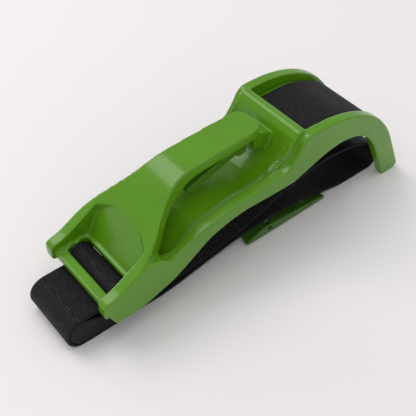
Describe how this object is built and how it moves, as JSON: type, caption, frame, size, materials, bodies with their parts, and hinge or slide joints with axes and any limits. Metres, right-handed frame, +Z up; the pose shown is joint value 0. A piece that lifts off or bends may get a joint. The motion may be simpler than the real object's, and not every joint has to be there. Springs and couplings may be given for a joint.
{
  "type": "strapping tensioner tool",
  "caption": "Hand tensioner for 50 mm webbing: moulded bridge body with grip, nose roller, saddle between cheeks, release lever, toothed cam and hinged foot.",
  "frame": {"origin": "middle of the overall box, on the surface the tool stands on", "axes": "+X along the tool from the nose towards the legs, +Y across towards the bracket side, +Z up"},
  "size_m": [0.3178, 0.076, 0.0995],
  "materials": {
    "body_green": "glossy moulded nylon, leaf green",
    "trigger_green": "satin moulded nylon, leaf green",
    "webbing": "cross-ribbed polyester webbing",
    "rubber_black": "moulded grip rubber",
    "core_black": "satin black nylon",
    "steel_zinc": "zinc plated",
    "steel_cam": "hardened, dark oxide",
    "spring_steel": "drawn wire",
    "bracket_black": "black powder coat",
    "rivet_green": "painted over with the foot",
    "bush_bronze": "sintered bronze"
  },
  "bodies": {
    "frame": {"frame_body": "body_green", "strap_saddle": "body_green", "saddle_screws": "steel_zinc", "roller_washers": "steel_zinc", "roller_axle": "steel_zinc", "guide_core": "core_black", "core_screws": "steel_zinc", "trigger_pin": "steel_zinc", "cam_pin": "steel_zinc", "foot_bracket": "bracket_black", "bracket_screws": "steel_zinc", "foot_pin": "steel_zinc", "pin_clip": "steel_zinc", "webbing_strap": "webbing", "trigger_spring": "spring_steel", "cam_spring": "spring_steel", "foot_spring": "spring_steel"},
    "roller": {"front_roller": "core_black", "roller_bushes": "bush_bronze"},
    "trigger": {"release_trigger": "trigger_green"},
    "cam": {"lock_cam": "steel_cam"},
    "foot": {"foot_shoe": "trigger_green", "foot_pad": "rubber_black", "foot_rivets": "rivet_green"}
  },
  "joints": [
    {"name": "roller_spin", "type": "hinge", "parent": "frame", "child": "roller", "pos_m": [-0.1146, 0, 0.0295], "axis": [0, 1, 0], "continuous": true},
    {"name": "trigger_squeeze", "type": "hinge", "parent": "frame", "child": "trigger", "pos_m": [0.0049, 0, 0.0865], "axis": [0, 1, 0], "range_deg": [0, 6], "stiffness_Nm_per_rad": 0.6, "springref_deg": -8.59, "deforming": ["trigger_spring"]},
    {"name": "cam_release", "type": "hinge", "parent": "frame", "child": "cam", "pos_m": [0.039, 0, 0.072], "axis": [0, 1, 0], "range_deg": [-19.8, 0]},
    {"name": "foot_hinge", "type": "hinge", "parent": "frame", "child": "foot", "pos_m": [0.0229, 0, 0.0065], "axis": [0, 1, 0], "range_deg": [0, 10], "stiffness_Nm_per_rad": 0.2, "springref_deg": -5.73}
  ],
  "couplings": [
    {"joint": "cam_release", "follows": "trigger_squeeze", "ratio": -3.3}
  ]
}
